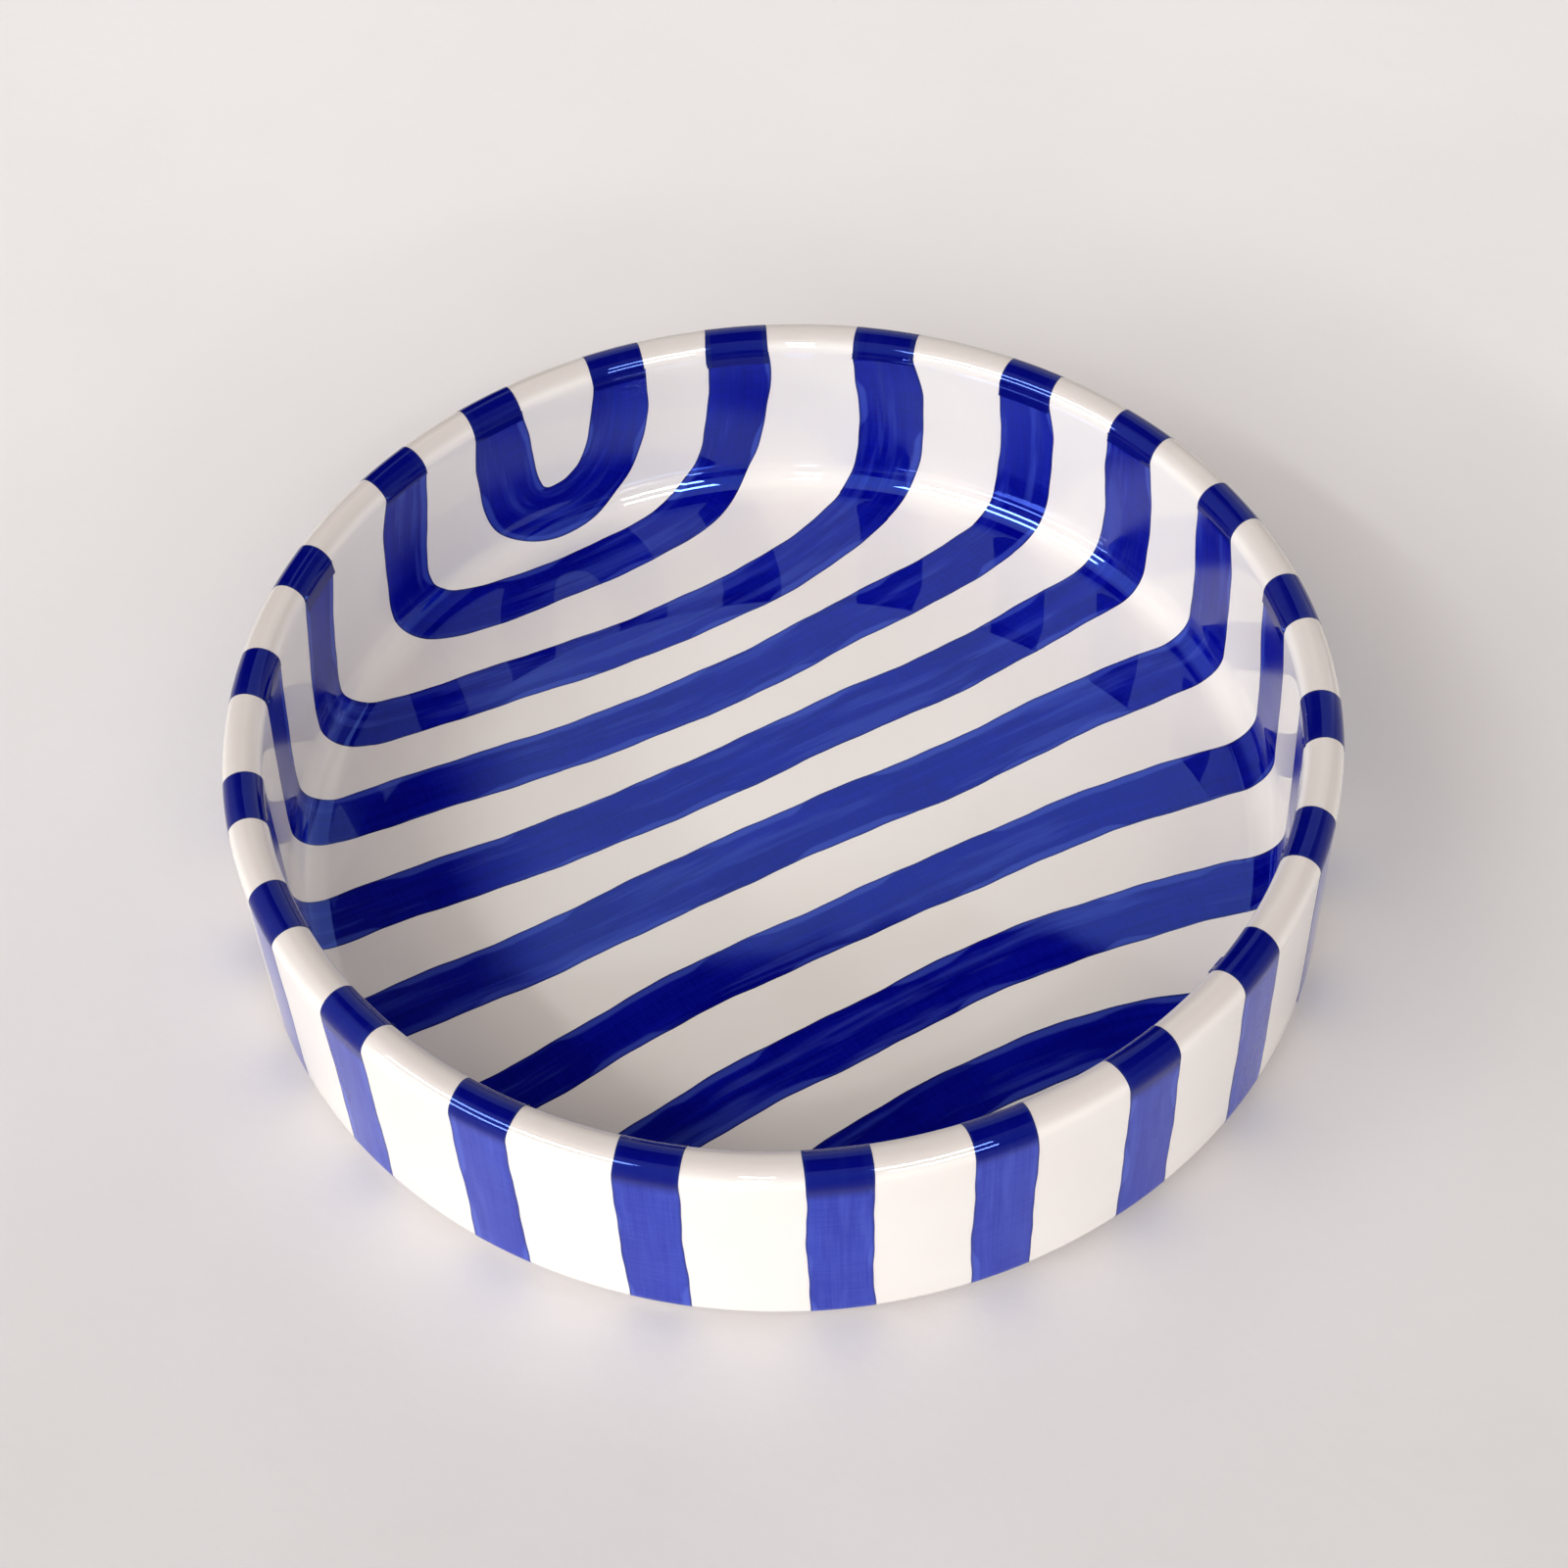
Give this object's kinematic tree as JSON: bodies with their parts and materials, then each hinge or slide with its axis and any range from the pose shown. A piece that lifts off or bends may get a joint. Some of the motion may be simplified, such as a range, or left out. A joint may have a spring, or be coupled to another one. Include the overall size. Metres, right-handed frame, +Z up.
{
  "type": "serving bowl",
  "caption": "Low round straight-sided serving bowl of glazed earthenware with wavy blue brush stripes on white, rolled rim and foot ring.",
  "frame": {"origin": "on the table under the middle of the bowl, at the foot ring's flat face", "axes": "+Z up along the axis the bowl was turned on; +X to the right and +Y away from the viewer of the picture"},
  "size_m": [0.28, 0.28, 0.065],
  "materials": {
    "bare_clay": "unglazed fired clay",
    "white_glaze": "glossy white tin glaze",
    "blue_glaze": "glossy cobalt blue brush stroke"
  },
  "bodies": {
    "root": {"clay_body": "bare_clay", "white_glaze": "white_glaze", "inner_stripe_01": "blue_glaze", "inner_stripe_02": "blue_glaze", "inner_stripe_03": "blue_glaze", "inner_stripe_04": "blue_glaze", "inner_stripe_05": "blue_glaze", "inner_stripe_06": "blue_glaze", "inner_stripe_07": "blue_glaze", "inner_stripe_08": "blue_glaze", "inner_stripe_09": "blue_glaze", "inner_stripe_10": "blue_glaze", "inner_stripe_11": "blue_glaze", "rim_bar_01": "blue_glaze", "rim_bar_02": "blue_glaze", "rim_bar_03": "blue_glaze", "rim_bar_04": "blue_glaze", "rim_bar_05": "blue_glaze", "rim_bar_06": "blue_glaze", "rim_bar_07": "blue_glaze", "rim_bar_08": "blue_glaze", "rim_bar_09": "blue_glaze", "rim_bar_10": "blue_glaze", "rim_bar_11": "blue_glaze", "rim_bar_12": "blue_glaze", "rim_bar_13": "blue_glaze", "rim_bar_14": "blue_glaze", "rim_bar_15": "blue_glaze", "rim_bar_16": "blue_glaze", "rim_bar_17": "blue_glaze", "rim_bar_18": "blue_glaze", "rim_bar_19": "blue_glaze", "rim_bar_20": "blue_glaze", "rim_bar_21": "blue_glaze", "rim_bar_22": "blue_glaze"}
  },
  "joints": []
}
